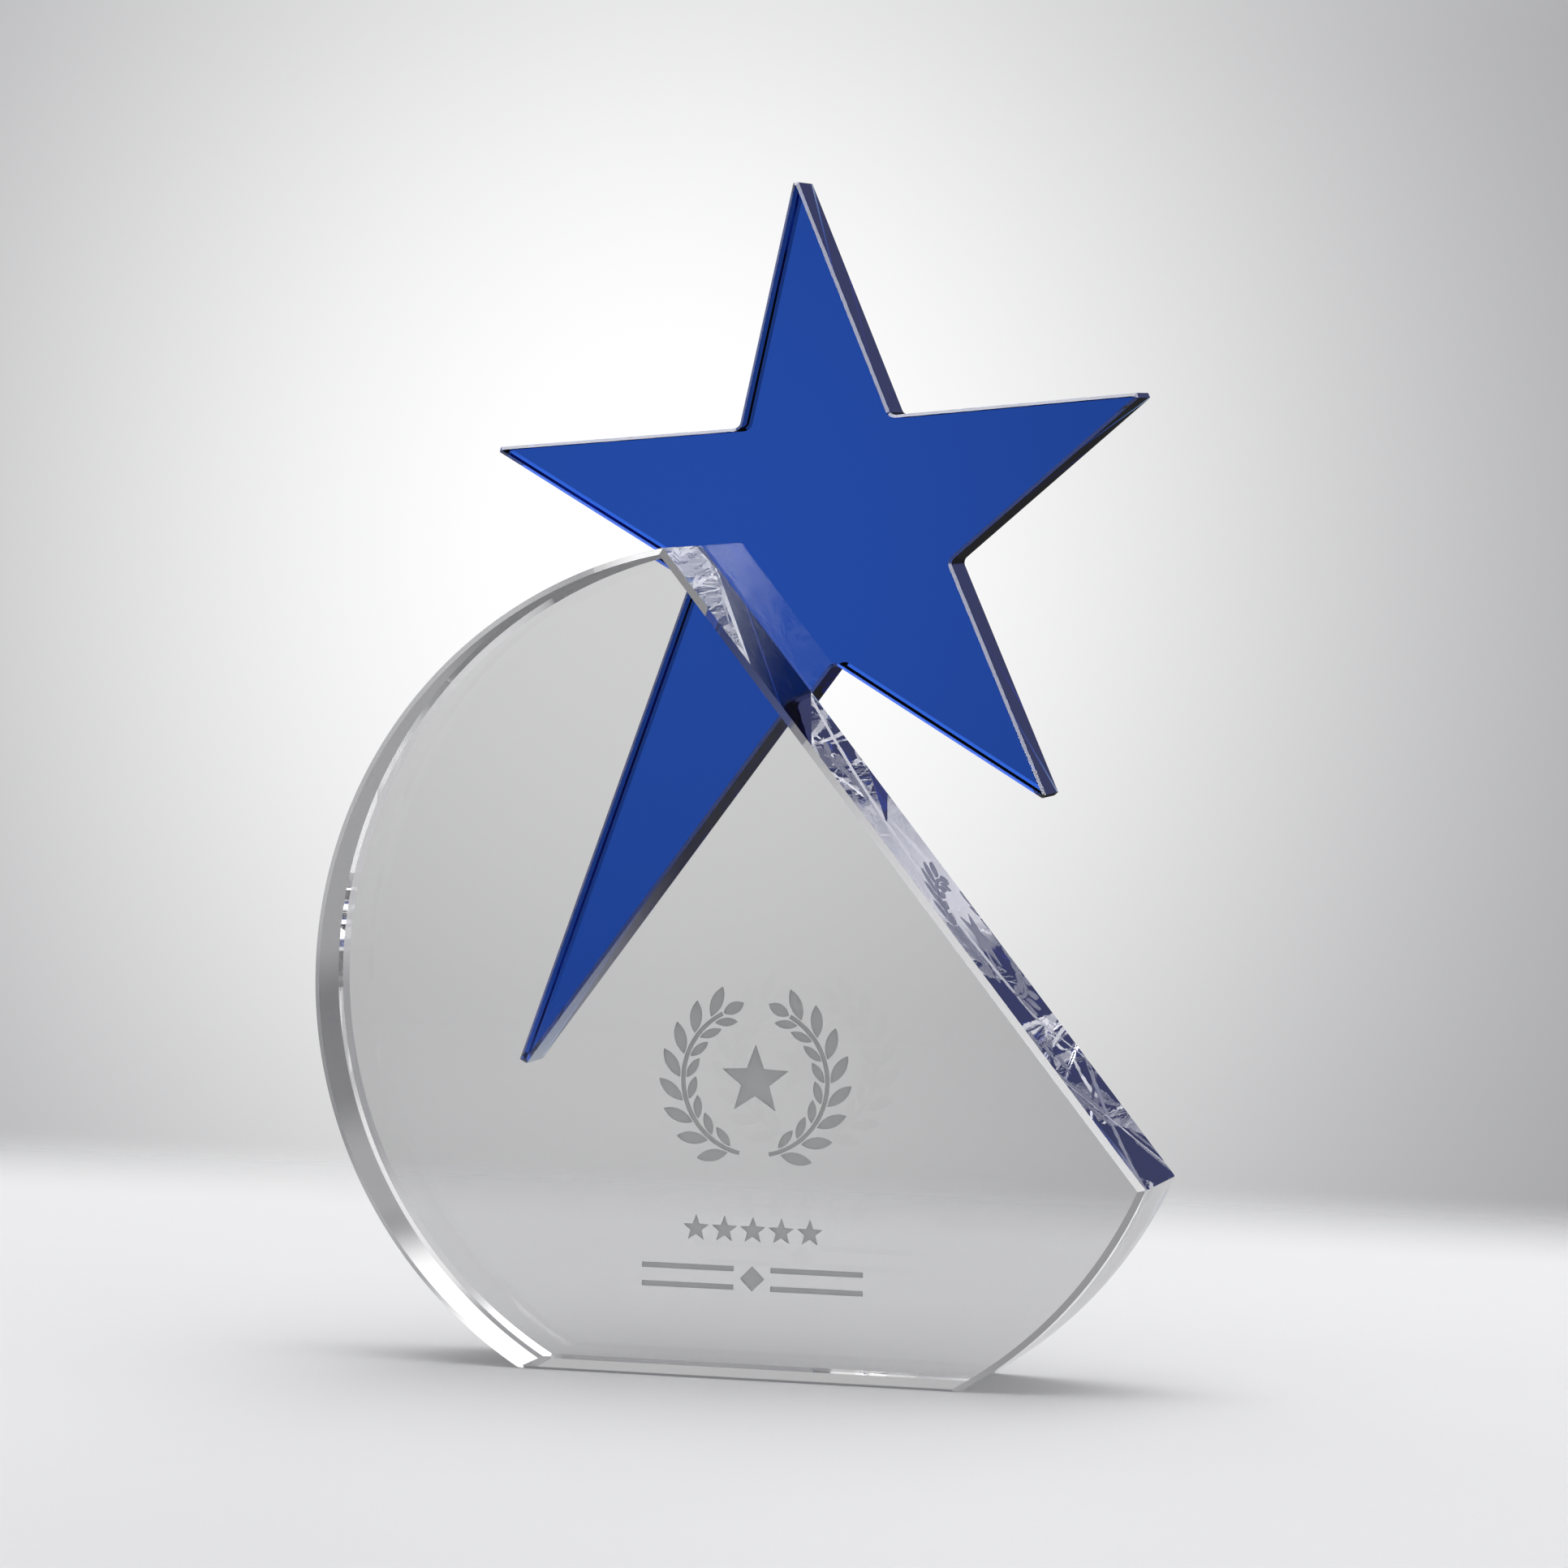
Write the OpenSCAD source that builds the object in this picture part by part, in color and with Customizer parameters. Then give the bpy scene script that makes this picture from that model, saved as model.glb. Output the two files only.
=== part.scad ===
// Star trophy. A clear crystal disc stands on a flat base and is cut away along one
// slanted line. A blue crystal star with one long leg is bonded to the disc's back face.
// X runs along the disc, +Y points to the back and +Z is up. The origin is the middle of
// the base face. The disc's front face looks towards -Y.

/* [Disc] */
// Radius of the disc
disc_r = 75; // [70:1:80]
// Height of the disc's centre above the base face
disc_centre_z = 64.5; // [60:0.5:70]
// Thickness of the disc
disc_t = 25; // [18:1:30]
// Angle of the slanted cut's outward normal above the horizontal
cut_tilt = 39.1; // [36:0.1:42]
// Distance of the slanted cut from the disc's centre
cut_dist = 34.6; // [33:0.1:37]
// Width of the polished chamfer round both faces of the disc
disc_chamfer = 1; // [0.5:0.1:1.5]
// Width of the finer chamfer along the base face's front and back edges
foot_chamfer = 0.4; // [0.2:0.1:1]

/* [Star] */
// Thickness of the star
star_t = 10; // [6:1:14]
// Distance from the star's centre to its sharp tips
star_r = 60; // [56:1:62]
// Distance from the star's centre to its inner corners
notch_r = 22.6; // [21:0.1:24]
// Angle by which the top point leans to the left
star_tilt = 5.7; // [4:0.1:7]
// Sideways place of the star's centre
star_x = 5.8; // [4:0.1:7]
// Height of the star's centre above the base face
star_z = 141; // [139:0.5:143]
// Sideways place of the long leg's sharp tip
leg_x = -45.1; // [-47:0.1:-43]
// Height of the long leg's sharp tip above the base face
leg_z = 45.9; // [44:0.1:49]
// Length ground off the long leg's sharp tip
leg_trim = 4.6; // [3:0.1:6]
// Length ground off each of the other sharp tips
tip_trim = 1.4; // [1:0.1:2]
// Width of the polished chamfer round both faces of the star
star_chamfer = 0.5; // [0.3:0.1:0.8]
// Radius of the rounding in the star's inner corners
notch_fillet = 1.2; // [0.8:0.1:1.6]

/* [Bond] */
// Thickness of the cured adhesive between disc and star
film_t = 0.1; // [0.1:0.05:0.2]

/* [Engraving] */
// Depth of the frosted engraving in the front face
engraving_depth = 0.4; // [0.2:0.1:0.8]
// Sideways place of the engraving's middle
emblem_x = 2.5; // [0:0.5:4]
// Height of the wreath's middle above the base face
wreath_z = 50; // [48:1:54]
// Radius of the wreath's stems
wreath_r = 12.4; // [11:0.1:13]
// Leaf stations on each side of the wreath
leaf_stations = 8; // [6:1:9]
// Length of an outer leaf
leaf_length = 5.4; // [4:0.1:6]
// Width of an outer leaf
leaf_width = 2; // [1.4:0.1:2.4]
// Height of the row of small stars above the base face
star_row_z = 25; // [23:0.5:27]
// Height of the pair of rules above the base face
rules_z = 17; // [14:0.5:19]

/* [Hidden] */
$fn = 96;
// Longer than anything on the award
reach = 400;
// Depth of a chamfer on a straight edge, as a share of its width
flat_chamfer_depth = 0.9;
back_y = disc_t / 2;
star_y = back_y + film_t;
// Points of a five-pointed star are this far apart
point_step = 72;
top_angle = 90 + star_tilt;
// The star's points are numbered anticlockwise from the top one, and the long leg is this one
leg = 2;
stem_width = 0.7;
// The stems run from beside the bottom of the wreath to an open top
stem_start = -78;
stem_end = 62;
inner_leaf = 0.72;
leaf_splay = 32;
// Clear glass left between a leaf and the stem
leaf_gap = 0.25;
emblem_star_r = 6;
row_star_r = 2.3;
row_star_pitch = 4.9;
row_star_count = 5;
small_star_ratio = 0.42;
rule_length = 38;
rule_width = 0.9;
rule_gap = 3.1;
rule_break = 6.4;
lozenge = 2.1;

function polar(r, a) = [r * cos(a), r * sin(a)];
function star_tip(k) =
    k == leg ? [leg_x - star_x, leg_z - star_z] : polar(star_r, top_angle + point_step * k);
// The inner corner that follows point k
function star_notch(k) = polar(notch_r, top_angle + point_step * (k + 0.5));
// Direction and distance of the straight edge from p to q, seen from the star's centre
function edge_normal(p, q) = atan2(p[0] - q[0], q[1] - p[1]);
function edge_dist(p, q) = p * polar(1, edge_normal(p, q));

// All that lies on the inner side of a flat ground face, with both of its long edges chamfered.
// The face's outward normal points at the given angle in the XZ plane.
module ground_slab(angle, dist, thick, chamfer) {
    depth = chamfer * flat_chamfer_depth;
    rotate([0, -angle, 0])
        linear_extrude(height = 2 * reach, center = true)
            polygon([
                [-reach, 0], [dist - chamfer, 0], [dist, depth],
                [dist, thick - depth], [dist - chamfer, thick], [-reach, thick]
            ]);
}

// The disc's outline, ground back by inset, standing on y = 0
module disc_blank(inset, thick, chamfer, foot) {
    translate([0, 0, disc_centre_z]) intersection() {
        rotate([-90, 0, 0]) rotate_extrude()
            polygon([
                [0, 0], [disc_r - inset - chamfer, 0], [disc_r - inset, chamfer],
                [disc_r - inset, thick - chamfer], [disc_r - inset - chamfer, thick], [0, thick]
            ]);
        ground_slab(cut_tilt, cut_dist - inset, thick, chamfer);
        ground_slab(-90, disc_centre_z - inset, thick, foot);
    }
}

// One point of the star from its trimmed tip to the star's centre
module star_point(k, inset, thick, chamfer) {
    tip = star_tip(k);
    before = star_notch(k - 1);
    after = star_notch(k);
    trim = k == leg ? leg_trim : tip_trim;
    intersection() {
        ground_slab(edge_normal(before, tip), edge_dist(before, tip) - inset, thick, chamfer);
        ground_slab(edge_normal(tip, after), edge_dist(tip, after) - inset, thick, chamfer);
        ground_slab(atan2(tip[1], tip[0]), norm(tip) - trim - inset, thick, chamfer);
        ground_slab(atan2(-tip[1], -tip[0]), 0, thick, 0);
    }
}

// The rounding left by the grinding wheel in the inner corner after point k
module notch_round(k, thick) {
    corner = star_notch(k);
    to_tip = star_tip(k) - corner;
    to_next = star_tip(k + 1 == 5 ? 0 : k + 1) - corner;
    a = to_tip / norm(to_tip);
    b = to_next / norm(to_next);
    half = acos(a * b) / 2;
    run = notch_fillet / tan(half);
    wheel = corner + (a + b) / norm(a + b) * notch_fillet / sin(half);
    translate([0, thick - star_chamfer, 0]) rotate([90, 0, 0])
        linear_extrude(height = thick - 2 * star_chamfer) difference() {
            polygon([corner - (a + b) * notch_fillet, corner + a * run, wheel, corner + b * run]);
            translate(wheel) circle(r = notch_fillet);
        }
}

module star_blank(inset, thick, chamfer) {
    translate([star_x, 0, star_z])
        for (k = [0:4]) star_point(k, inset, thick, chamfer);
}

module small_star(r) {
    polygon([for (i = [0:9]) polar(i % 2 == 0 ? r : r * small_star_ratio, 90 + 36 * i)]);
}

// A leaf with its stalk end at the origin, pointing along +X
module leaf(length, width) {
    bow_r = (length * length + width * width) / (4 * width);
    intersection() {
        translate([length / 2, width / 2 - bow_r]) circle(r = bow_r);
        translate([length / 2, bow_r - width / 2]) circle(r = bow_r);
    }
}

module wreath_half() {
    difference() {
        circle(r = wreath_r + stem_width / 2);
        circle(r = wreath_r - stem_width / 2);
        polygon([[0, 0], polar(reach, stem_end), polar(reach, 120), polar(reach, 180),
                 polar(reach, 240), polar(reach, stem_start)]);
    }
    for (i = [0:leaf_stations - 1]) {
        a = stem_start + (i + 0.5) * (stem_end - stem_start) / leaf_stations;
        rotate(a) {
            translate([wreath_r + stem_width / 2 + leaf_gap, 0])
                rotate(90 - leaf_splay) leaf(leaf_length, leaf_width);
            translate([wreath_r - stem_width / 2 - leaf_gap, 0])
                rotate(90 + leaf_splay) leaf(leaf_length * inner_leaf, leaf_width * inner_leaf);
        }
    }
    rotate(stem_end) translate([wreath_r, leaf_gap])
        rotate(90) leaf(leaf_length * inner_leaf, leaf_width);
}

module rule_half() {
    for (s = [-1, 1])
        translate([rule_break / 2, s * rule_gap / 2 - rule_width / 2])
            square([(rule_length - rule_break) / 2, rule_width]);
}

module engraving_outline() {
    translate([emblem_x, wreath_z]) {
        small_star(emblem_star_r);
        wreath_half();
        mirror([1, 0]) wreath_half();
    }
    for (i = [0:row_star_count - 1])
        translate([emblem_x + (i - (row_star_count - 1) / 2) * row_star_pitch, star_row_z])
            small_star(row_star_r);
    translate([emblem_x, rules_z]) {
        rule_half();
        mirror([1, 0]) rule_half();
        polygon([[lozenge, 0], [0, lozenge], [-lozenge, 0], [0, -lozenge]]);
    }
}

module crystal_disc() {
    color("whitesmoke", 0.35) difference() {
        translate([0, -back_y, 0]) disc_blank(0, disc_t, disc_chamfer, foot_chamfer);
        translate([0, engraving_depth - back_y, 0]) rotate([90, 0, 0])
            linear_extrude(height = engraving_depth + 1) engraving_outline();
    }
}

module blue_star() {
    color("royalblue", 0.8) translate([0, star_y, 0]) {
        star_blank(0, star_t, star_chamfer);
        translate([star_x, 0, star_z]) for (k = [0:4]) notch_round(k, star_t);
    }
}

module bond_film() {
    color("lightblue", 0.4) translate([0, back_y, 0]) intersection() {
        disc_blank(disc_chamfer, film_t, 0, 0);
        star_blank(star_chamfer, film_t, 0);
    }
}

crystal_disc();
blue_star();
bond_film();
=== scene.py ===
import math

import bmesh
import bpy
from mathutils import Matrix, Vector


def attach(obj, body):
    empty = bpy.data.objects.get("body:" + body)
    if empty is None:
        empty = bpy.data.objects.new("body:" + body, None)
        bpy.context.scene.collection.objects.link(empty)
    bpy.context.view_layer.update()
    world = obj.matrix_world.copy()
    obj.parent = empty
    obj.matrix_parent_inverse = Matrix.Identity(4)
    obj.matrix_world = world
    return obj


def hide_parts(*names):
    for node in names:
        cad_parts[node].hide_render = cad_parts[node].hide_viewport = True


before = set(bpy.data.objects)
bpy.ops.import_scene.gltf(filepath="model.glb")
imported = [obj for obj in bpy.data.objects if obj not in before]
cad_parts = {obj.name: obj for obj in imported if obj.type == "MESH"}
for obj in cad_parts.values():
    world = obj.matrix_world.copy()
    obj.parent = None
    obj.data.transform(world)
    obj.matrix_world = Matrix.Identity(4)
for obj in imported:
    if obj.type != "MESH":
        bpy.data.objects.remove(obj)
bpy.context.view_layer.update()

# A crystal award. A clear disc stands on a ground flat and is cut away along a slanted line.
# A blue star with one long leg is bonded to its back face. The front face looks towards -Y.
MM = 0.001

# A face counts as front, back or cut when its normal is this close to that direction
FACING = 0.99

# Disc
DISC_R = 75 * MM
DISC_CENTRE_Z = 64.5 * MM
DISC_T = 25 * MM
DISC_CHAMFER = 1 * MM
FOOT_CHAMFER = 0.4 * MM
CUT_TILT = math.radians(39.1)
CUT_DIST = 34.6 * MM
RIM_STEPS = 480
RIM_SMOOTH = math.radians(8)
BACK_Y = DISC_T / 2

# Star
STAR_T = 10 * MM
STAR_R = 60 * MM
NOTCH_R = 22.6 * MM
STAR_TILT = math.radians(5.7)
STAR_CENTRE = Vector((5.8 * MM, 141 * MM))
# The points are counted anticlockwise from the top one, and the long leg is this one
LEG = 2
LEG_TIP = Vector((-45.1 * MM, 45.9 * MM))
TIP_TRIM = 1.4 * MM
LEG_TRIM = 4.6 * MM
STAR_CHAMFER = 0.5 * MM
NOTCH_FILLET = 1.2 * MM
FILLET_STEPS = 8
FILLET_SMOOTH = math.radians(25)

# Bond between the two. The film's mesh keeps this far off both crystals' faces.
FILM_T = 0.1 * MM
FILM_GAP = 0.02 * MM
STAR_Y = BACK_Y + FILM_T

# Engraving
ENGRAVING_DEPTH = 0.4 * MM
EMBLEM_X = 2.5 * MM
WREATH_Z = 50 * MM
WREATH_R = 12.4 * MM
STEM_WIDTH = 0.7 * MM
STEM_START = math.radians(-78)
STEM_END = math.radians(62)
LEAF_STATIONS = 8
LEAF_LENGTH = 5.4 * MM
LEAF_WIDTH = 2 * MM
INNER_LEAF = 0.72
LEAF_SPLAY = math.radians(32)
LEAF_GAP = 0.25 * MM
EMBLEM_STAR_R = 6 * MM
ROW_STAR_R = 2.3 * MM
ROW_STAR_PITCH = 4.9 * MM
ROW_STAR_COUNT = 5
SMALL_STAR_RATIO = 0.42
STAR_ROW_Z = 25 * MM
RULES_Z = 17 * MM
RULE_LENGTH = 38 * MM
RULE_WIDTH = 0.9 * MM
RULE_GAP = 3.1 * MM
RULE_BREAK = 6.4 * MM
LOZENGE = 2.1 * MM


# ---------------------------------------------------------------- camera
CAMERA_PLACE = (0.31215, -1.13315, 0.16542)
CAMERA_YAW = math.radians(15.25)
CAMERA_PITCH = math.radians(-3.25)
CAMERA_ROLL = math.radians(0.957)

bpy.ops.object.select_all(action="DESELECT")
bpy.ops.object.camera_add()
camera = bpy.context.object
camera.name = "camera"
camera.data.sensor_width = 36
camera.data.lens = 161.66
camera.matrix_world = (
    Matrix.Translation(CAMERA_PLACE)
    @ Matrix.Rotation(CAMERA_YAW, 4, "Z")
    @ Matrix.Rotation(math.pi / 2 + CAMERA_PITCH, 4, "X")
    @ Matrix.Rotation(CAMERA_ROLL, 4, "Z")
)
bpy.context.scene.camera = camera


# ---------------------------------------------------------------- workshop helpers
def colour(hex_code):
    """A six-digit sRGB colour as linear RGBA."""
    channels = [int(hex_code[i : i + 2], 16) / 255 for i in (0, 2, 4)]
    linear = [c / 12.92 if c <= 0.04045 else ((c + 0.055) / 1.055) ** 2.4 for c in channels]
    return (*linear, 1)


def open_edit(piece):
    if bpy.context.mode != "OBJECT":
        bpy.ops.object.mode_set(mode="OBJECT")
    bpy.ops.object.select_all(action="DESELECT")
    piece.select_set(True)
    bpy.context.view_layer.objects.active = piece
    bpy.ops.object.mode_set(mode="EDIT")
    bpy.ops.mesh.select_all(action="DESELECT")


def close_edit():
    bpy.ops.object.mode_set(mode="OBJECT")


def pick(piece, kind, test):
    """Selects the vertices, edges or faces of the edited piece that pass the test."""
    bpy.ops.mesh.select_mode(type=kind)
    bpy.ops.mesh.select_all(action="DESELECT")
    mesh = bmesh.from_edit_mesh(piece.data)
    for part in {"VERT": mesh.verts, "EDGE": mesh.edges, "FACE": mesh.faces}[kind]:
        if test(part):
            part.select_set(True)
    mesh.select_flush_mode()
    bmesh.update_edit_mesh(piece.data)


def saw(place, normal, **settings):
    """Cuts what is selected along a plane."""
    bpy.ops.mesh.bisect(plane_co=place, plane_no=normal, **settings)


def upright(point, y=0.0):
    """A point of the XZ plane as a place in space."""
    return Vector((point[0], y, point[1]))


def polar(radius, angle):
    return Vector((radius * math.cos(angle), radius * math.sin(angle)))


def apply_modifier(piece, kind, **settings):
    modifier = piece.modifiers.new(kind.lower(), kind)
    for name, value in settings.items():
        setattr(modifier, name, value)
    bpy.ops.object.select_all(action="DESELECT")
    piece.select_set(True)
    bpy.context.view_layer.objects.active = piece
    bpy.ops.object.modifier_apply(modifier=modifier.name)


def settle(piece):
    """Puts the piece's object at the origin, with its place in its mesh."""
    bpy.ops.object.select_all(action="DESELECT")
    piece.select_set(True)
    bpy.context.view_layer.objects.active = piece
    bpy.ops.object.transform_apply(location=True, rotation=True, scale=True)


def near(a, b, slack=0.01 * MM):
    return abs(a - b) < slack


# ---------------------------------------------------------------- outline of the star
def star_tip(k):
    if k % 5 == LEG:
        return LEG_TIP
    return STAR_CENTRE + polar(STAR_R, math.pi / 2 + STAR_TILT + math.tau / 5 * k)


def star_notch(k):
    """The inner corner that follows point k, counted anticlockwise from the top point."""
    return STAR_CENTRE + polar(NOTCH_R, math.pi / 2 + STAR_TILT + math.tau / 5 * (k + 0.5))


def edge_line(start, end, inset):
    """The straight edge from start to end, ground back by inset: a place on it, and its outward
    normal."""
    run = (end - start).normalized()
    normal = Vector((run[1], -run[0]))
    return start - normal * inset, normal


def trim_line(k, inset):
    """The ground end of point k, in the same form."""
    reach = star_tip(k) - STAR_CENTRE
    normal = reach.normalized()
    trim = LEG_TRIM if k == LEG else TIP_TRIM
    return STAR_CENTRE + normal * (reach.length - trim - inset), normal


def inside(point, line):
    place, normal = line
    return (point - place).dot(normal) < 0


# ---------------------------------------------------------------- materials
def new_material(name):
    material = bpy.data.materials.new(name)
    material.use_nodes = True
    material.node_tree.nodes.clear()
    return material, material.node_tree


def add(tree, kind, settings=None, sockets=None, links=None):
    """Adds a node with its settings, its socket values and its links from other sockets."""
    node = tree.nodes.new(kind)
    for name, value in (settings or {}).items():
        setattr(node, name, value)
    for key, value in (sockets or {}).items():
        node.inputs[key].default_value = value
    for key, source in (links or {}).items():
        tree.links.new(source, node.inputs[key])
    return node


OPTICAL_CRYSTAL_IOR = 1.517


def polished_crystal(name, painted_shade_tint, ripple=0.0, ripple_mm=3.0):
    """Optical crystal ground flat and polished with cerium oxide: no haze, a hard mirror edge.
    A belt-polished edge keeps shallow ripples, which break up what is seen through it. A grey
    painted_shade_tint is painted shade: it darkens what is seen through the face."""
    material, tree = new_material(name)
    links = {}
    if ripple:
        place = add(tree, "ShaderNodeTexCoord").outputs["Object"]
        waves = add(
            tree,
            "ShaderNodeTexNoise",
            sockets={"Scale": 1 / (ripple_mm * MM), "Detail": 1.0, "Distortion": 1.2},
            links={"Vector": place},
        )
        bump = add(
            tree,
            "ShaderNodeBump",
            sockets={"Strength": ripple, "Distance": 0.1 * MM},
            links={"Height": waves.outputs[0]},
        )
        links["Normal"] = bump.outputs[0]
    crystal = add(
        tree,
        "ShaderNodeBsdfPrincipled",
        sockets={
            "Base Color": colour(painted_shade_tint),
            "Roughness": 0.0,
            "IOR": OPTICAL_CRYSTAL_IOR,
            "Transmission Weight": 1.0,
        },
        links=links,
    )
    add(tree, "ShaderNodeOutputMaterial", links={"Surface": crystal.outputs[0]})
    return material


def sandblasted_crystal_painted_shade():
    """Crystal blasted with fine grit through a stencil: a matt floor that scatters what is behind
    it, with a fine sparkle of pits. Its grey base colour is painted shade, darker than the frost's
    own pale tone. Real pits are under 0.1 mm across, and are drawn three times as coarse so that
    they show."""
    material, tree = new_material("sandblasted_crystal_painted_shade")
    place = add(tree, "ShaderNodeTexCoord").outputs["Object"]
    pits = add(
        tree,
        "ShaderNodeTexNoise",
        sockets={"Scale": 1 / (0.3 * MM), "Detail": 3.0, "Roughness": 0.6},
        links={"Vector": place},
    )
    tone = add(
        tree,
        "ShaderNodeMapRange",
        sockets={"From Min": 0.3, "From Max": 0.7, "To Min": 0.45, "To Max": 0.62},
        links={"Value": pits.outputs[0]},
    )
    bump = add(
        tree,
        "ShaderNodeBump",
        sockets={"Strength": 0.5, "Distance": 0.05 * MM},
        links={"Height": pits.outputs[0]},
    )
    frost = add(
        tree,
        "ShaderNodeBsdfPrincipled",
        sockets={
            # Painted shade: a grey darker than the frost's own pale tone
            "Base Color": colour("B4B5B5"),
            "IOR": OPTICAL_CRYSTAL_IOR,
            "Transmission Weight": 0.55,
        },
        links={"Roughness": tone.outputs[0], "Normal": bump.outputs[0]},
    )
    add(tree, "ShaderNodeOutputMaterial", links={"Surface": frost.outputs[0]})
    return material


def bonded_face():
    """Where the cured adhesive joins two crystal faces, its index matches theirs and the joint
    shows no surface at all."""
    material, tree = new_material("bonded_face")
    clear = add(tree, "ShaderNodeBsdfTransparent")
    add(tree, "ShaderNodeOutputMaterial", links={"Surface": clear.outputs[0]})
    return material


def blue_crystal():
    """Optical crystal melted with cobalt oxide, then ground and polished: clear, with a blue
    that deepens with the length of glass looked through. The bonded part of its front face
    shows no surface."""
    material, tree = new_material("cobalt_blue_crystal")
    crystal = add(
        tree,
        "ShaderNodeBsdfPrincipled",
        sockets={
            "Base Color": colour("FFFFFF"),
            "Roughness": 0.0,
            "IOR": OPTICAL_CRYSTAL_IOR,
            "Transmission Weight": 1.0,
        },
    )
    clear = add(tree, "ShaderNodeBsdfTransparent")
    bonded = add(tree, "ShaderNodeAttribute", {"attribute_name": "bonded"})
    surface = add(
        tree,
        "ShaderNodeMixShader",
        links={"Fac": bonded.outputs["Fac"], 1: crystal.outputs[0], 2: clear.outputs[0]},
    )
    # Loss per metre of glass in red, green and blue
    loss = (400.0, 262.0, 95.8)
    cobalt = add(
        tree,
        "ShaderNodeVolumeAbsorption",
        sockets={
            "Color": (0.0, 1 - loss[1] / loss[0], 1 - loss[2] / loss[0], 1),
            "Density": loss[0],
        },
    )
    add(
        tree,
        "ShaderNodeOutputMaterial",
        links={"Surface": surface.outputs[0], "Volume": cobalt.outputs[0]},
    )
    return material


def cured_adhesive():
    """UV-cured acrylic adhesive, squeezed to a film: water-clear, with a faint gloss where a
    bubble-free edge catches the light."""
    material, tree = new_material("cured_clear_adhesive")
    clear = add(tree, "ShaderNodeBsdfTransparent", sockets={"Color": colour("FBFCFC")})
    gloss = add(
        tree,
        "ShaderNodeBsdfPrincipled",
        sockets={"Base Color": colour("2A2D30"), "Roughness": 0.1, "IOR": 1.49},
    )
    surface = add(
        tree,
        "ShaderNodeMixShader",
        sockets={"Fac": 0.02},
        links={1: clear.outputs[0], 2: gloss.outputs[0]},
    )
    add(tree, "ShaderNodeOutputMaterial", links={"Surface": surface.outputs[0]})
    return material


# ---------------------------------------------------------------- pieces
def cut_disc():
    """The clear disc: a thick round blank, engraved, chamfered, and ground flat at the foot and
    along the slanted cut, with both flats chamfered in their turn."""
    bpy.ops.object.select_all(action="DESELECT")
    bpy.ops.mesh.primitive_cylinder_add(
        vertices=RIM_STEPS,
        radius=DISC_R,
        depth=DISC_T,
        location=(0, 0, DISC_CENTRE_Z),
        rotation=(math.pi / 2, 0, 0),
    )
    disc = bpy.context.object
    disc.name = "clear_disc"
    settle(disc)
    engrave(disc)
    open_edit(disc)
    pick(disc, "EDGE", on_outline)
    bpy.ops.mesh.bevel(
        offset_type="OFFSET",
        offset=DISC_CHAMFER,
        segments=1,
        affect="EDGES",
        clamp_overlap=False,
    )
    close_edit()
    for line, chamfer in flats():
        grinding_block = make_block(line, chamfer)
        apply_modifier(disc, "BOOLEAN", operation="INTERSECT", object=grinding_block, solver="EXACT")
        bpy.data.objects.remove(grinding_block)
    open_edit(disc)
    score_bond(disc)
    close_edit()
    bpy.ops.object.shade_smooth_by_angle(angle=RIM_SMOOTH)
    return disc


def on_outline(edge):
    """True for the edges round the blank's two faces."""
    middle = Vector((0, DISC_CENTRE_Z))
    ends = [v.co for v in edge.verts]
    on_rim = all(near((end.xz - middle).length, DISC_R) for end in ends)
    return on_rim and near(ends[0].y, ends[1].y)


def flats():
    """The disc's two flats, the foot and the slanted cut, as lines of the XZ plane, each with
    the width of its chamfers."""
    middle = Vector((0, DISC_CENTRE_Z))
    foot = (Vector((0, 0)), Vector((0, -1)))
    cut = (middle + polar(CUT_DIST, CUT_TILT), polar(1, CUT_TILT))
    return (foot, FOOT_CHAMFER), (cut, DISC_CHAMFER)


def make_block(line, chamfer):
    """All that stays of the disc when one flat is ground: a block that ends at the flat, with
    the arris taken off along the flat's front and back edges."""
    place, normal = line
    reach = 6 * DISC_R
    # The block stands proud of the disc's two faces by this much
    spare = 0.5 * MM
    bpy.ops.object.select_all(action="DESELECT")
    bpy.ops.mesh.primitive_cube_add(
        size=1,
        location=upright(place - normal * reach / 2),
        rotation=(0, -math.atan2(normal[1], normal[0]), 0),
        scale=(reach, DISC_T + 2 * spare, reach),
    )
    block = bpy.context.object
    settle(block)
    open_edit(block)
    pick(block, "EDGE", lambda e: along_flat(e, line))
    bpy.ops.mesh.bevel(
        offset_type="OFFSET", offset=chamfer + spare, segments=1, affect="EDGES"
    )
    close_edit()
    return block


def along_flat(edge, line):
    """True for the block's two long edges at the flat."""
    place, normal = line
    ends = [v.co for v in edge.verts]
    on_flat = all(near((end.xz - place).dot(normal), 0) for end in ends)
    return on_flat and near(ends[0].y, ends[1].y)


def grind_flat(line, front_y, back_y, width, depth):
    """Grinds the edited piece flat along a line of the XZ plane, and takes the arris off the
    flat's front and back edges."""
    place, normal = line
    planes = [(upright(place), upright(normal))]
    for face_y, side in ((front_y, -1), (back_y, 1)):
        planes.append(
            (upright(place - normal * width, face_y), upright(normal * depth, side * width))
        )
    for plane_place, plane_normal in planes:
        bpy.ops.mesh.select_all(action="SELECT")
        saw(plane_place, plane_normal.normalized(), use_fill=True, clear_outer=True)


def bond_lines():
    """The star's edges that cross the disc's back face, ground back to the film's outline."""
    return {
        "left_arm": edge_line(star_tip(1), star_notch(1), STAR_CHAMFER),
        "leg_left": edge_line(star_notch(1), star_tip(LEG), STAR_CHAMFER),
        "leg_right": edge_line(star_tip(LEG), star_notch(LEG), STAR_CHAMFER),
        "leg_end": trim_line(LEG, STAR_CHAMFER),
    }


def bonded(point):
    """True for a place of the back face that the film covers."""
    lines = bond_lines()
    in_leg = all(inside(point, lines[n]) for n in ("leg_left", "leg_right", "leg_end"))
    in_arm = inside(point, lines["left_arm"]) and not inside(point, lines["leg_left"])
    return in_leg or in_arm


def score_bond(disc):
    """Splits the back face along the film's outline."""
    for place, normal in bond_lines().values():
        pick(disc, "FACE", lambda f: f.normal.y > FACING)
        saw(upright(place), upright(normal))


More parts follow.
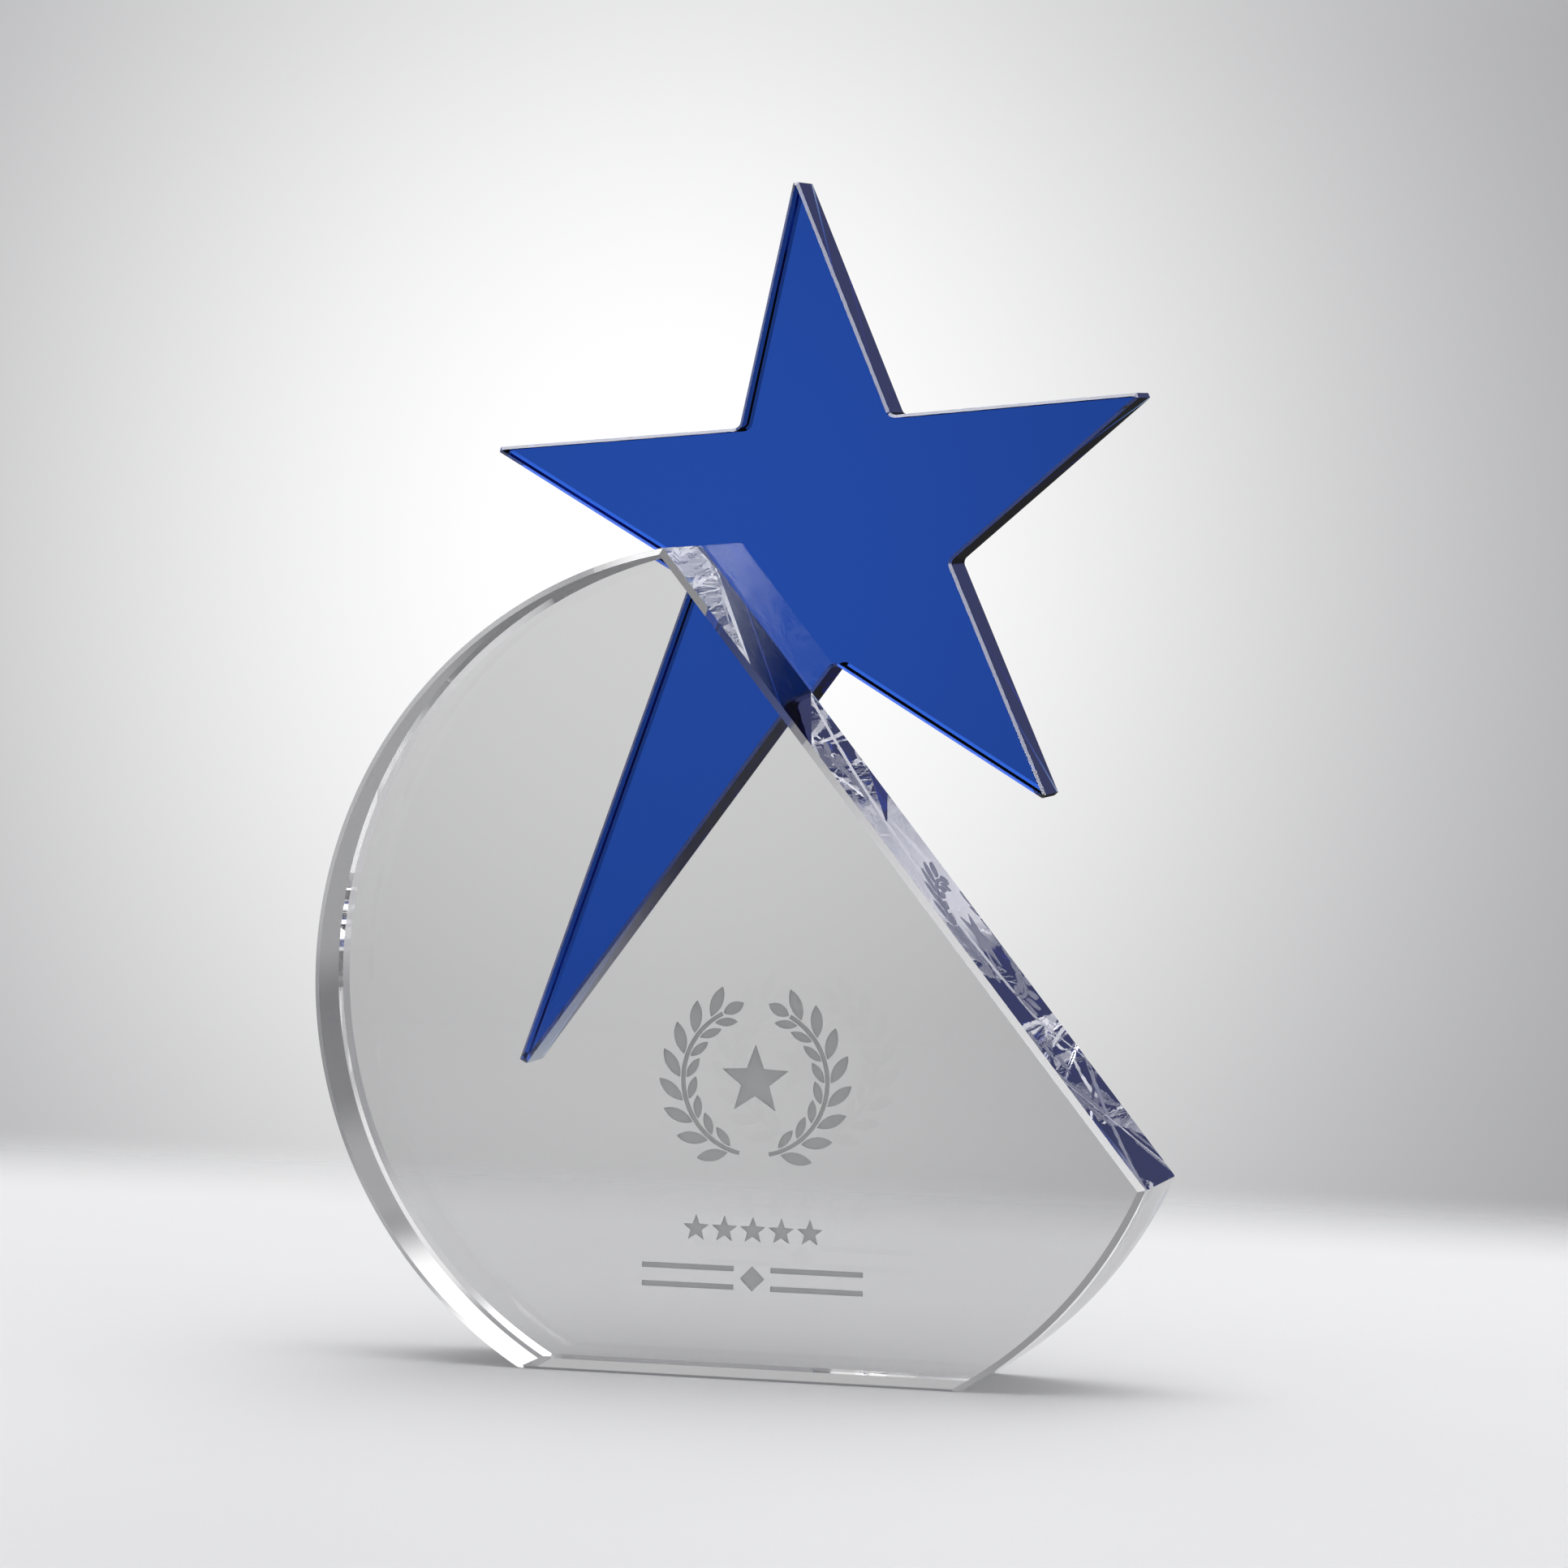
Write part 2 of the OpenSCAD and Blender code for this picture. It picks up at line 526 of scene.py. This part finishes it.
def cut_star():
    """The blue star: a flat ten-cornered outline with one point pulled out into the leg,
    its points ground off, given its thickness, its inner corners rounded and its faces
    chamfered."""
    bpy.ops.object.select_all(action="DESELECT")
    bpy.ops.mesh.primitive_circle_add(
        vertices=10,
        radius=STAR_R,
        fill_type="NGON",
        location=upright(STAR_CENTRE, STAR_Y),
        rotation=(math.pi / 2, -STAR_TILT, 0),
    )
    star = bpy.context.object
    star.name = "blue_crystal_star"
    settle(star)
    open_edit(star)
    centre = upright(STAR_CENTRE, STAR_Y)
    for k in range(5):
        spot = STAR_CENTRE + (star_notch(k) - STAR_CENTRE) * (STAR_R / NOTCH_R)
        pick(star, "VERT", lambda v: (v.co - upright(spot, STAR_Y)).length < 1 * MM)
        bpy.ops.transform.resize(value=(NOTCH_R / STAR_R,) * 3, center_override=centre)
    old_tip = STAR_CENTRE + polar(STAR_R, math.pi / 2 + STAR_TILT + math.tau / 5 * LEG)
    pick(star, "VERT", lambda v: (v.co - upright(old_tip, STAR_Y)).length < 1 * MM)
    bpy.ops.transform.translate(value=upright(LEG_TIP - old_tip))
    bpy.ops.mesh.select_mode(type="FACE")
    bpy.ops.mesh.select_all(action="SELECT")
    bpy.ops.mesh.extrude_region_move(TRANSFORM_OT_translate={"value": (0, STAR_T, 0)})
    bpy.ops.mesh.select_all(action="SELECT")
    bpy.ops.mesh.normals_make_consistent(inside=False)
    for k in range(5):
        corner = star_notch(k)
        sides = [(star_tip(k + step) - corner).normalized() for step in (0, 1)]
        half = sides[0].angle(sides[1]) / 2
        pick(star, "EDGE", lambda e: on_corner(e, corner))
        bpy.ops.mesh.bevel(
            offset_type="OFFSET",
            offset=NOTCH_FILLET / math.tan(half),
            segments=FILLET_STEPS,
            affect="EDGES",
            clamp_overlap=False,
        )
    faces_y = (STAR_Y, STAR_Y + STAR_T)
    pick(star, "EDGE", lambda e: any(all(near(v.co.y, y) for v in e.verts) for y in faces_y))
    bpy.ops.mesh.bevel(
        offset_type="OFFSET",
        offset=STAR_CHAMFER,
        segments=1,
        affect="EDGES",
        clamp_overlap=False,
    )
    for k in range(5):
        grind_flat(trim_line(k, 0), STAR_Y, STAR_Y + STAR_T, STAR_CHAMFER, STAR_CHAMFER)
    score_contact(star)
    close_edit()
    bpy.ops.object.shade_smooth_by_angle(angle=FILLET_SMOOTH)
    mark_contact(star)
    return star


def on_corner(edge, corner):
    """True for the straight edge through the star's thickness at that corner of its outline."""
    return all((v.co.xz - corner).length < 0.05 * MM for v in edge.verts)


def contact_lines():
    """The disc's back outline where it crosses the star, ground back to the film's outline:
    the slanted cut, and short chords of the rim that start just past the corner between the
    two."""
    radius = DISC_R - DISC_CHAMFER
    middle = Vector((0, DISC_CENTRE_Z))
    corner = CUT_TILT + math.acos((CUT_DIST - DISC_CHAMFER) / radius)
    chord = math.radians(1.2)
    chord_count = 6
    overlap = 0.2
    lines = [(polar(CUT_DIST - DISC_CHAMFER, CUT_TILT) + middle, polar(1, CUT_TILT))]
    for i in range(chord_count):
        start = middle + polar(radius, corner + (i - overlap) * chord)
        end = middle + polar(radius, corner + (i + 1 - overlap) * chord)
        lines.append(edge_line(start, end, 0))
    return lines


def faces_disc(face):
    return face.normal.y < -FACING


def score_contact(star):
    """Splits the star's front face along the disc's outline."""
    for place, normal in contact_lines():
        pick(star, "FACE", faces_disc)
        saw(upright(place), upright(normal))


def in_contact(face):
    """True for a face that the film covers, in edit mode or out of it."""
    point = (face.calc_center_median() if hasattr(face, "verts") else face.center).xz
    return faces_disc(face) and all(inside(point, line) for line in contact_lines())


def mark_contact(star):
    """Marks the faces that the adhesive covers, for the blue crystal's material."""
    mark = star.data.attributes.new("bonded", "FLOAT", "FACE")
    for face in star.data.polygons:
        mark.data[face.index].value = 1.0 if in_contact(face) else 0.0


def spread_film(star):
    """The cured film between disc and star: the star's bonded faces, given a thickness."""
    film = star.copy()
    film.data = star.data.copy()
    film.name = "adhesive_film"
    bpy.context.collection.objects.link(film)
    open_edit(film)
    pick(film, "FACE", lambda f: not in_contact(f))
    bpy.ops.mesh.delete(type="FACE")
    bpy.ops.mesh.select_all(action="SELECT")
    bpy.ops.transform.translate(value=(0, FILM_GAP - FILM_T, 0))
    bpy.ops.mesh.extrude_region_move(
        TRANSFORM_OT_translate={"value": (0, FILM_T - 2 * FILM_GAP, 0)}
    )
    bpy.ops.mesh.select_all(action="SELECT")
    bpy.ops.mesh.normals_make_consistent(inside=False)
    close_edit()
    film.data.attributes.remove(film.data.attributes["bonded"])
    return film


# ---------------------------------------------------------------- engraving stencil
# The stencil is drawn lying flat, with the wreath's middle at the origin, and is then thickened
# and stood up against the disc's front face.
STENCIL_DEPTH = ENGRAVING_DEPTH + 1 * MM


def thicken(piece):
    """Gives a flat stencil shape its depth."""
    open_edit(piece)
    bpy.ops.mesh.select_all(action="SELECT")
    bpy.ops.mesh.extrude_region_move(TRANSFORM_OT_translate={"value": (0, 0, STENCIL_DEPTH)})
    bpy.ops.mesh.select_all(action="SELECT")
    bpy.ops.mesh.normals_make_consistent(inside=False)
    close_edit()
    return piece


def flat_circle(point, radius, corners, fill="NGON"):
    bpy.ops.object.select_all(action="DESELECT")
    bpy.ops.mesh.primitive_circle_add(
        vertices=corners, radius=radius, fill_type=fill, location=(point[0], point[1], 0)
    )
    piece = bpy.context.object
    settle(piece)
    return piece


def stencil_star(point, radius):
    """A small five-pointed star: a ten-cornered circle with every other corner drawn in."""
    piece = flat_circle(point, radius, 10)
    open_edit(piece)
    for k in range(5):
        spot = Vector(point) + polar(radius, math.pi / 2 + math.tau / 5 * (k + 0.5))
        pick(piece, "VERT", lambda v: (v.co.xy - spot).length < radius / 10)
        bpy.ops.transform.resize(
            value=(SMALL_STAR_RATIO,) * 3, center_override=(point[0], point[1], 0)
        )
    close_edit()
    return thicken(piece)


def stencil_leaf():
    """A pointed leaf with its stalk end at the origin, pointing along +X: what two round plugs
    have in common."""
    bow_r = (LEAF_LENGTH**2 + LEAF_WIDTH**2) / (4 * LEAF_WIDTH)
    plugs = []
    for side, depth in ((1, STENCIL_DEPTH), (-1, 3 * STENCIL_DEPTH)):
        bpy.ops.object.select_all(action="DESELECT")
        bpy.ops.mesh.primitive_cylinder_add(
            vertices=96,
            radius=bow_r,
            depth=depth,
            location=(LEAF_LENGTH / 2, side * (LEAF_WIDTH / 2 - bow_r), STENCIL_DEPTH / 2),
        )
        plugs.append(bpy.context.object)
        settle(plugs[-1])
    leaf, other = plugs
    apply_modifier(leaf, "BOOLEAN", operation="INTERSECT", object=other, solver="EXACT")
    bpy.data.objects.remove(other)
    return leaf


def stencil_stem():
    """One of the wreath's two stems: a narrow ring, sawn to its run."""
    piece = flat_circle((0, 0), WREATH_R - STEM_WIDTH / 2, 96, "NOTHING")
    open_edit(piece)
    bpy.ops.mesh.select_all(action="SELECT")
    widen = (WREATH_R + STEM_WIDTH / 2) / (WREATH_R - STEM_WIDTH / 2)
    bpy.ops.mesh.extrude_region()
    bpy.ops.transform.resize(value=(widen, widen, 1), center_override=(0, 0, 0))
    for end, side in ((STEM_START, -math.pi / 2), (STEM_END, math.pi / 2)):
        bpy.ops.mesh.select_all(action="SELECT")
        saw((0, 0, 0), (*polar(1, end + side), 0), clear_outer=True)
    close_edit()
    return thicken(piece)


def stencil_rule(x, y):
    bpy.ops.object.select_all(action="DESELECT")
    bpy.ops.mesh.primitive_plane_add(size=1, location=(x, y, 0))
    piece = bpy.context.object
    bpy.ops.transform.resize(value=((RULE_LENGTH - RULE_BREAK) / 2, RULE_WIDTH, 1))
    settle(piece)
    return thicken(piece)


def place_copy(piece, matrix):
    """A copy of a finished stencil shape with its own mesh, moved in its mesh."""
    copy = piece.copy()
    copy.data = piece.data.copy()
    copy.matrix_world = matrix
    bpy.context.collection.objects.link(copy)
    settle(copy)
    if matrix.determinant() < 0:
        open_edit(copy)
        bpy.ops.mesh.select_all(action="SELECT")
        bpy.ops.mesh.flip_normals()
        close_edit()
    return copy


def join(shapes):
    bpy.ops.object.select_all(action="DESELECT")
    for shape in shapes:
        shape.select_set(True)
    bpy.context.view_layer.objects.active = shapes[0]
    bpy.ops.object.join()
    return bpy.context.object


def wreath_half():
    """Stem, leaf pairs and end leaf of the wreath's right half."""
    leaf = stencil_leaf()
    shapes = [stencil_stem()]
    step = (STEM_END - STEM_START) / LEAF_STATIONS
    off_stem = STEM_WIDTH / 2 + LEAF_GAP
    for i in range(LEAF_STATIONS):
        station = Matrix.Rotation(STEM_START + (i + 0.5) * step, 4, "Z")
        for side, size in ((1, 1), (-1, INNER_LEAF)):
            root = Matrix.Translation((WREATH_R + side * off_stem, 0, 0))
            turn = Matrix.Rotation(math.pi / 2 - side * LEAF_SPLAY, 4, "Z")
            shrink = Matrix.Diagonal((size, size, 1, 1))
            shapes.append(place_copy(leaf, station @ root @ turn @ shrink))
    end = Matrix.Rotation(STEM_END, 4, "Z") @ Matrix.Translation((WREATH_R, LEAF_GAP, 0))
    turn = Matrix.Rotation(math.pi / 2, 4, "Z")
    shapes.append(place_copy(leaf, end @ turn @ Matrix.Diagonal((INNER_LEAF, 1, 1, 1))))
    bpy.data.objects.remove(leaf)
    return join(shapes)


def cut_stencil():
    """Wreath with a star, a row of small stars, and two pairs of rules with a lozenge."""
    right = wreath_half()
    left = place_copy(right, Matrix.Scale(-1, 4, (1, 0, 0)))
    shapes = [right, left, stencil_star((0, 0), EMBLEM_STAR_R)]
    for i in range(ROW_STAR_COUNT):
        x = (i - (ROW_STAR_COUNT - 1) / 2) * ROW_STAR_PITCH
        shapes.append(stencil_star((x, STAR_ROW_Z - WREATH_Z), ROW_STAR_R))
    rules_y = RULES_Z - WREATH_Z
    for side in (-1, 1):
        for level in (-1, 1):
            x = side * (RULE_LENGTH + RULE_BREAK) / 4
            shapes.append(stencil_rule(x, rules_y + level * RULE_GAP / 2))
    shapes.append(thicken(flat_circle((0, rules_y), LOZENGE, 4)))
    stencil = join(shapes)
    stencil.matrix_world = Matrix.Translation(
        (EMBLEM_X, ENGRAVING_DEPTH - BACK_Y, WREATH_Z)
    ) @ Matrix.Rotation(math.pi / 2, 4, "X")
    settle(stencil)
    return stencil


def engrave(disc):
    """Sinks the stencil's shapes into the front face."""
    stencil = cut_stencil()
    apply_modifier(disc, "BOOLEAN", operation="DIFFERENCE", object=stencil, solver="EXACT")
    bpy.data.objects.remove(stencil)


def in_pocket(face):
    """True for the floor and walls of the engraving, which keeps well inside the rim."""
    slack = 0.01 * MM
    depth = face.center.y + BACK_Y
    off_centre = (face.center.xz - Vector((0, DISC_CENTRE_Z))).length
    return slack < depth < ENGRAVING_DEPTH + slack and off_centre < 0.85 * DISC_R


# ---------------------------------------------------------------- assembly
# What each part of the disc's surface is, in the order of its material slots
disc_finishes = {
    "pocket": sandblasted_crystal_painted_shade(),
    "front": polished_crystal("polished_crystal_front", "FFFFFF"),
    "rim": polished_crystal("polished_crystal_rim", "FFFFFF"),
    # The back face's grey tint is painted shade: it darkens what is seen through the disc
    "back": polished_crystal("polished_crystal_back_painted_shade", "A8A8A9"),
    "joined": bonded_face(),
    "cut": polished_crystal("polished_crystal_cut", "FFFFFF", ripple=0.05, ripple_mm=4),
}


def disc_part(face):
    """The part of the disc's surface that a face belongs to."""
    if in_pocket(face):
        return "pocket"
    if face.normal.y < -FACING:
        return "front"
    if face.normal.y > FACING:
        return "joined" if bonded(face.center.xz) else "back"
    if face.normal.xz.dot(polar(1, CUT_TILT)) > FACING:
        return "cut"
    return "rim"


disc = cut_disc()
star = cut_star()
film = spread_film(star)

for material in disc_finishes.values():
    disc.data.materials.append(material)
for face in disc.data.polygons:
    face.material_index = list(disc_finishes).index(disc_part(face))
star.data.materials.append(blue_crystal())
film.data.materials.append(cured_adhesive())

for piece, node, slot in (
    (disc, "crystal_disc", "clear_crystal"),
    (star, "blue_star", "blue_crystal"),
    (film, "bond_film", "clear_adhesive"),
):
    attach(piece, "root")
    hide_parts(node)


# ---------------------------------------------------------------- studio
TABLE_WIDTH = 2.6
TABLE_FRONT = -0.75
TABLE_BACK = 0.31
BACK_FADE = 0.12
FRONT_FADE = 0.40
# The award stands this far clear of the table, so that its polished foot still mirrors
FOOT_GAP = 0.05 * MM


def table_top():
    """Matt white laminate, pale and even, with a slight sheen. Its back and front edges are lost
    in the light of the room."""
    material, tree = new_material("white_table")
    place = add(tree, "ShaderNodeTexCoord").outputs["Object"]
    split = add(tree, "ShaderNodeSeparateXYZ", links={"Vector": place})
    fades = [
        add(
            tree,
            "ShaderNodeMapRange",
            {"interpolation_type": "SMOOTHSTEP"},
            sockets={"From Min": start, "From Max": end},
            links={"Value": split.outputs["Y"]},
        ).outputs[0]
        for start, end in (
            (TABLE_BACK - BACK_FADE, TABLE_BACK),
            (TABLE_FRONT + FRONT_FADE, TABLE_FRONT),
        )
    ]
    fade = add(
        tree, "ShaderNodeMath", {"operation": "MAXIMUM"}, links={0: fades[0], 1: fades[1]}
    )
    laminate = add(
        tree,
        "ShaderNodeBsdfPrincipled",
        sockets={
            "Base Color": colour("DADADB"),
            "Roughness": 0.55,
            "IOR": 1.45,
            "Specular IOR Level": 0.1,
        },
    )
    clear = add(tree, "ShaderNodeBsdfTransparent")
    surface = add(
        tree,
        "ShaderNodeMixShader",
        links={"Fac": fade.outputs[0], 1: laminate.outputs[0], 2: clear.outputs[0]},
    )
    add(tree, "ShaderNodeOutputMaterial", links={"Surface": surface.outputs[0]})
    return material


bpy.ops.object.select_all(action="DESELECT")
bpy.ops.mesh.primitive_plane_add(
    size=1, location=(0, (TABLE_FRONT + TABLE_BACK) / 2, -FOOT_GAP)
)
table = bpy.context.object
table.name = "table"
bpy.ops.transform.resize(value=(TABLE_WIDTH, TABLE_BACK - TABLE_FRONT, 1))
settle(table)
table.data.materials.append(table_top())


def light_studio():
    """The light round the award, by direction: one surrounding for what is seen straight or through
    the glass, and another, darker one for what the polished faces mirror. The second is painted
    reflection: it shows only in reflections and never on matt surfaces, so its patches are painted
    highlights. Directions are an azimuth, from +Y towards +X, and an elevation, both in degrees."""
    world = bpy.data.worlds.new("studio")
    bpy.context.scene.world = world
    world.use_nodes = True
    tree = world.node_tree
    tree.nodes.clear()
    direction = add(tree, "ShaderNodeTexCoord").outputs["Generated"]
    split = add(tree, "ShaderNodeSeparateXYZ", links={"Vector": direction})
    azimuth = add(
        tree,
        "ShaderNodeMath",
        {"operation": "ARCTAN2"},
        links={0: split.outputs["X"], 1: split.outputs["Y"]},
    ).outputs[0]
    elevation = add(
        tree, "ShaderNodeMath", {"operation": "ARCSINE"}, links={0: split.outputs["Z"]}
    ).outputs[0]

    def scaled(angle, middle, width):
        return add(
            tree,
            "ShaderNodeMath",
            {"operation": "MULTIPLY_ADD"},
            sockets={1: 1 / math.radians(width), 2: -middle / width},
            links={0: angle},
        ).outputs[0]

    def glow(middle, widths):
        """1 in the middle, falling away smoothly: the bell curve of the distance from it."""
        across = scaled(azimuth, middle[0], widths[0])
        up = scaled(elevation, middle[1], widths[1])
        both = add(tree, "ShaderNodeCombineXYZ", links={0: across, 1: up}).outputs[0]
        square = add(
            tree, "ShaderNodeVectorMath", {"operation": "DOT_PRODUCT"}, links={0: both, 1: both}
        ).outputs["Value"]
        minus = add(
            tree, "ShaderNodeMath", {"operation": "MULTIPLY"}, sockets={1: -1}, links={0: square}
        ).outputs[0]
        return add(
            tree, "ShaderNodeMath", {"operation": "EXPONENT"}, links={0: minus}
        ).outputs[0]

    def box(middle, widths, softness):
        """1 inside a rounded rectangle, 0 outside it."""
        sides = []
        for angle, centre, width in zip((azimuth, elevation), middle, widths):
            place = add(
                tree,
                "ShaderNodeMath",
                {"operation": "ABSOLUTE"},
                links={0: scaled(angle, centre, width)},
            ).outputs[0]
            sides.append(
                add(
                    tree,
                    "ShaderNodeMapRange",
                    {"interpolation_type": "SMOOTHSTEP"},
                    sockets={
                        "From Min": 1 + softness,
                        "From Max": 1 - softness,
                    },
                    links={"Value": place},
                ).outputs[0]
            )
        return add(
            tree, "ShaderNodeMath", {"operation": "MULTIPLY"}, links={0: sides[0], 1: sides[1]}
        ).outputs[0]

    def tone(code, strength):
        return (*[c * strength for c in colour(code)[:3]], 1)

    def layers(base, patches):
        """The base light with each patch laid over the ones before it."""
        light = add(tree, "ShaderNodeRGB").outputs[0]
        light.default_value = tone(*base)
        for share, code, strength in patches:
            mix = add(tree, "ShaderNodeMix", {"data_type": "RGBA"})
            tree.links.new(share, mix.inputs[0])
            tree.links.new(light, mix.inputs[6])
            mix.inputs[7].default_value = tone(code, strength)
            light = mix.outputs[2]
        return light

    room = layers(
        ("F3F3F8", 0.33),
        (
            # Pale walls to the right, in front and to the left
            (box((102, -12), (106, 26), 0.04), "F6F6F9", 0.58),
            (box((-125, -12), (80, 26), 0.2), "F6F6F9", 0.58),
            # Soft boxes to the left, to the right and above the backdrop
            (box((-80, 30), (40, 25), 0.3), "FFFFFF", 1.0),
            (box((100, 30), (35, 25), 0.3), "FFFFFF", 0.8),
            (box((2, 26), (12, 10), 0.3), "FFFFFF", 2.4),
            # A grey flag beside the backdrop, which the left part of the rim shows
            (box((20, 1), (17, 6), 0.4), "F0F0F6", 0.34),
            # The top of the backdrop, and the lamp's glow on it
            (box((-16, 12), (14, 7), 0.35), "FFFFFF", 0.66),
            (glow((-16.2, -1.3), (6.2, 7.1)), "FFFFFF", 1.04),
        ),
    )
    # Painted reflections and highlights: this surround is seen only by mirrored rays
    painted_reflections = layers(
        ("E8E8F4", 0.05),
        (
            # Painted highlights: soft boxes to the left, to the right, overhead and above the
            # backdrop, which only the reflections show
            (box((-90, 22), (25, 25), 0.3), "FFFFFF", 1.2),
            (box((106, 20), (25, 22), 0.3), "FFFFFF", 8.0),
            (box((0, 80), (400, 25), 0.2), "FFFFFF", 8.0),
            (box((-8, 25), (9, 8), 0.3), "FFFFFF", 0.6),
            # Painted reflection: a navy patch that only the reflections show, which gives the
            # slanted cut and the star's right walls their navy tone
            (box((10, 11), (9, 10), 0.5), "6A70A8", 1.0),
            # Painted highlight: a front lamp that only the reflections show, which the star's face
            # mirrors by way of the slanted cut
            (box((173, 21.9), (9, 7), 0.08), "FFFFFF", 14.0),
        ),
    )
    # A ray that left the award by reflection, and not by passing out through a face
    path = add(tree, "ShaderNodeLightPath")
    through = add(
        tree,
        "ShaderNodeMath",
        {"operation": "SUBTRACT"},
        sockets={0: 1.0},
        links={1: path.outputs["Is Transmission Ray"]},
    ).outputs[0]
    reflected = add(
        tree,
        "ShaderNodeMath",
        {"operation": "MULTIPLY"},
        links={0: through, 1: path.outputs["Is Glossy Ray"]},
    ).outputs[0]
    seen = add(tree, "ShaderNodeMix", {"data_type": "RGBA"})
    tree.links.new(reflected, seen.inputs[0])
    tree.links.new(room, seen.inputs[6])
    tree.links.new(painted_reflections, seen.inputs[7])
    background = add(tree, "ShaderNodeBackground", links={"Color": seen.outputs[2]})
    add(tree, "ShaderNodeOutputWorld", links={"Surface": background.outputs[0]})


light_studio()

bpy.ops.object.select_all(action="DESELECT")
bpy.ops.object.light_add(type="AREA", location=(0.0, 0.26, 1.05))
overhead = bpy.context.object
overhead.name = "overhead_soft_box"
overhead.data.shape = "DISK"
overhead.data.size = 1.5
overhead.data.energy = 10.5
# Seen through the glass, the lamp would burn out the foot
overhead.visible_transmission = False

scene = bpy.context.scene
scene.view_settings.view_transform = "Standard"
scene.view_settings.look = "None"
scene.cycles.max_bounces = 32
scene.cycles.transmission_bounces = 32
scene.cycles.glossy_bounces = 24
scene.cycles.diffuse_bounces = 4
scene.cycles.transparent_max_bounces = 32
